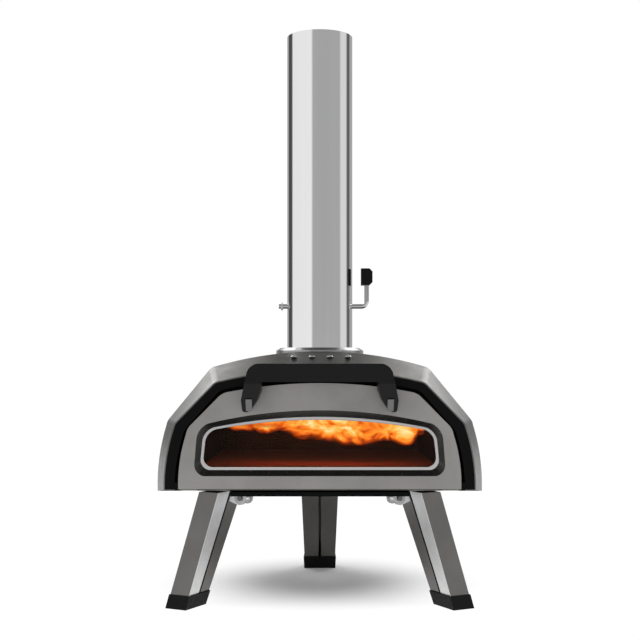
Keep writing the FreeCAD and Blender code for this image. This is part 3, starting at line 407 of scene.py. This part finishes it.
def floor():
    """A pale floor that turns to plain white outside the oven's soft shadow."""
    mesh = bpy.data.meshes.new("floor")
    corners = [(x * FLOOR_REACH, y * FLOOR_REACH, 0) for x, y in ((-1, -1), (1, -1), (1, 1), (-1, 1))]
    mesh.from_pydata(corners, [], [(0, 1, 2, 3)])
    sheet = bpy.data.objects.new("floor", mesh)
    SCENE.collection.objects.link(sheet)
    made = Shader("pale floor")
    made.set(Roughness=0.9, Specular_IOR_Level=0.0)
    made.ramp(made.noise(2, 2), [(0.3, 0.93), (0.7, 0.95)], made.surface.inputs["Base Color"])
    middle = made.add("ShaderNodeVectorMath")
    middle.operation = "LENGTH"
    made.join(made.place(SHADOW_STRETCH, SHADOW_SHIFT), middle.inputs[0])
    spread = made.add("ShaderNodeMapRange")
    spread.interpolation_type = "SMOOTHSTEP"
    spread.inputs["From Min"].default_value = SHADOW_FROM
    spread.inputs["From Max"].default_value = SHADOW_TO
    made.join(middle.outputs["Value"], spread.inputs["Value"])
    glow = made.add("ShaderNodeEmission", Strength=FLOOR_GLOW)
    mix = made.add("ShaderNodeMixShader")
    made.join(spread.outputs["Result"], mix.inputs[0])
    made.join(made.surface.outputs[0], mix.inputs[1])
    made.join(glow.outputs[0], mix.inputs[2])
    made.join(mix.outputs[0], made.output.inputs["Surface"])
    mesh.materials.append(made.material)


LENS = 67.5                        # focal length in millimetres
SENSOR = 36
LENS_SHIFT = 0.0734
CAMERA_PLACE = (0.0003, -1.775, 0.318)


def camera():
    """A level camera in front of the oven, with its lens shifted upward."""
    lens = bpy.data.cameras.new("camera")
    lens.lens = LENS
    lens.sensor_width = SENSOR
    lens.shift_y = LENS_SHIFT
    holder = bpy.data.objects.new("camera", lens)
    holder.location = CAMERA_PLACE
    holder.rotation_euler = (math.radians(90), 0, 0)
    SCENE.collection.objects.link(holder)
    SCENE.camera = holder


LIGHT_AIM = (0, -0.1, 0.2)
GLOW_PLACE = (0, -0.185, 0.268)
GLOW_AIM = (0, -0.21, 0.19)
GLOW_SIZE = (0.20, 0.03)
GLOW_POWER = 0.22
GLOW_TINT = (1.0, 0.13, 0.02)


def lights():
    """Soft boxes that light the oven without showing in its polished parts, and the fire's glow."""
    for name, where, size, power in (
            ("upper left", (-1.3, -0.6, 1.5), (1.0, 1.2), 14),
            ("upper right", (1.3, -0.6, 1.5), (1.0, 1.2), 14),
            ("over front", (0, -1.3, 1.5), (1.6, 0.5), 6),
            ("over rear", (0, 1.2, 1.6), (2.4, 0.8), 14)):
        made = area_light(name, where, LIGHT_AIM, size, power)
        made.visible_glossy = False
        made.visible_camera = False
    glow = area_light("fire glow", GLOW_PLACE, GLOW_AIM, GLOW_SIZE, GLOW_POWER, GLOW_TINT)
    glow.visible_camera = False
    glow.visible_glossy = False


# The flame card's outline, as places across and up in metres, starting at its lower left corner.
FLAME_CARD = [(-0.152, 0.200), (0.152, 0.200), (0.150, 0.234), (0.104, 0.277), (0.0, 0.284),
              (-0.104, 0.277), (-0.150, 0.234)]
FLAME_LOW = 0.205                  # the flames thicken between these two heights
FLAME_FULL = 0.262
FLAME_GLOW = 1.15
GAP_LEVEL = 0.46                   # noise level that leaves the flames' lower edge where it is
GAP_DEPTH = 1.25                   # how far the noise moves that edge


def flames(name, y, seed, drop):
    """Licking flames under the roof of the oven, on a card inside the liner."""
    mesh = bpy.data.meshes.new(name)
    mesh.from_pydata([(x, y, z) for x, z in FLAME_CARD], [], [tuple(range(len(FLAME_CARD)))])
    card = bpy.data.objects.new(name, mesh)
    SCENE.collection.objects.link(card)
    made = Shader(name)

    lick = made.add("ShaderNodeTexNoise", Scale=23.0, Detail=6.0, Distortion=2.2, Roughness=0.5)
    lick.noise_dimensions = "4D"
    lick.inputs["W"].default_value = seed
    made.join(made.place((1, 1, 1.7)), lick.inputs["Vector"])
    gaps = made.add("ShaderNodeTexNoise", Scale=11.0, Detail=1.0, Distortion=0.4)
    gaps.noise_dimensions = "4D"
    gaps.inputs["W"].default_value = seed + 5
    made.join(made.place((1, 1, 0.9)), gaps.inputs["Vector"])
    rise = made.height_above(FLAME_LOW + drop, FLAME_FULL + drop)
    gap = made.calculate("SUBTRACT", gaps.outputs["Fac"], GAP_LEVEL)
    edge = made.calculate("MULTIPLY", gap, GAP_DEPTH)
    height = made.calculate("ADD", rise, edge)
    body = made.ramp(height, [(0.28, 0.0), (0.52, 0.85), (0.8, 1.0)])
    heat = made.calculate("MULTIPLY", lick.outputs["Fac"], body)
    colour = made.ramp(heat, [(0.20, (0.10, 0.004, 0.0)), (0.36, (0.75, 0.09, 0.004)),
                              (0.46, (1.0, 0.27, 0.02)), (0.54, (1.0, 0.50, 0.09)),
                              (0.66, (1.0, 0.80, 0.40))])
    cover = made.ramp(heat, [(0.16, 0.0), (0.40, 1.0)])
    glow = made.add("ShaderNodeEmission", Strength=FLAME_GLOW)
    made.join(colour, glow.inputs["Color"])
    clear = made.add("ShaderNodeBsdfTransparent")
    mix = made.add("ShaderNodeMixShader")
    made.join(cover, mix.inputs[0])
    made.join(clear.outputs[0], mix.inputs[1])
    made.join(glow.outputs[0], mix.inputs[2])
    made.join(mix.outputs[0], made.output.inputs["Surface"])
    made.tree.nodes.remove(made.surface)
    mesh.materials.append(made.material)


RIVETS = 4
RIVET_PITCH = 23 * MM
RIVET_START = -33 * MM             # the first rivet's place from the middle
RIVET_RADIUS = 4.2 * MM
RIVET_FLATNESS = 0.42              # a head's height as a share of its radius
RIVET_SINK = 7 * MM                # how far below the crown the row lies
RIVET_PLACE = 0.65                 # from the shell's front edge towards the collar, as a share


def crown_rivets():
    """A short row of bright rivet heads on the slope in front of the collar."""
    shell_low, shell_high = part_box("outer_shell")
    collar_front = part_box("chimney_collar")[0][1]
    y = shell_low[1] + (collar_front - shell_low[1]) * RIVET_PLACE
    z = shell_high[2] - RIVET_SINK
    mesh = bpy.data.meshes.new("crown_rivets")
    shape = bmesh.new()
    for index in range(RIVETS):
        head = bmesh.ops.create_uvsphere(shape, u_segments=20, v_segments=10, radius=RIVET_RADIUS)["verts"]
        bmesh.ops.scale(shape, vec=(1, 1, RIVET_FLATNESS), verts=head)
        bmesh.ops.translate(shape, vec=(RIVET_START + index * RIVET_PITCH, y, z), verts=head)
    shape.to_mesh(mesh)
    shape.free()
    mesh.shade_smooth()
    heads = bpy.data.objects.new("crown_rivets", mesh)
    SCENE.collection.objects.link(heads)
    mesh.materials.append(MATERIALS["bright"])
    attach(heads, "oven")


GRIP_ROUND = 1.2 * MM
SHEET_ROUND = 0.4 * MM

finish_nodes()
crown_rivets()
for rounded in ("door_handle", "damper_knob", "leg_left_foot", "leg_right_foot", "leg_rear_foot",
                "burner_handle", "hatch_handle"):
    soften(rounded, GRIP_ROUND)
for crisp in ("door_panel", "front_frame", "leg_left", "leg_right", "leg_rear", "under_tray", "fuel_hatch"):
    soften(crisp, SHEET_ROUND)
studio_sky()
floor()
camera()
lights()
flames("flames near", -0.16, 3.1, 0.0)
flames("flames far", -0.04, 7.7, 0.008)
SCENE.view_settings.view_transform = "Standard"
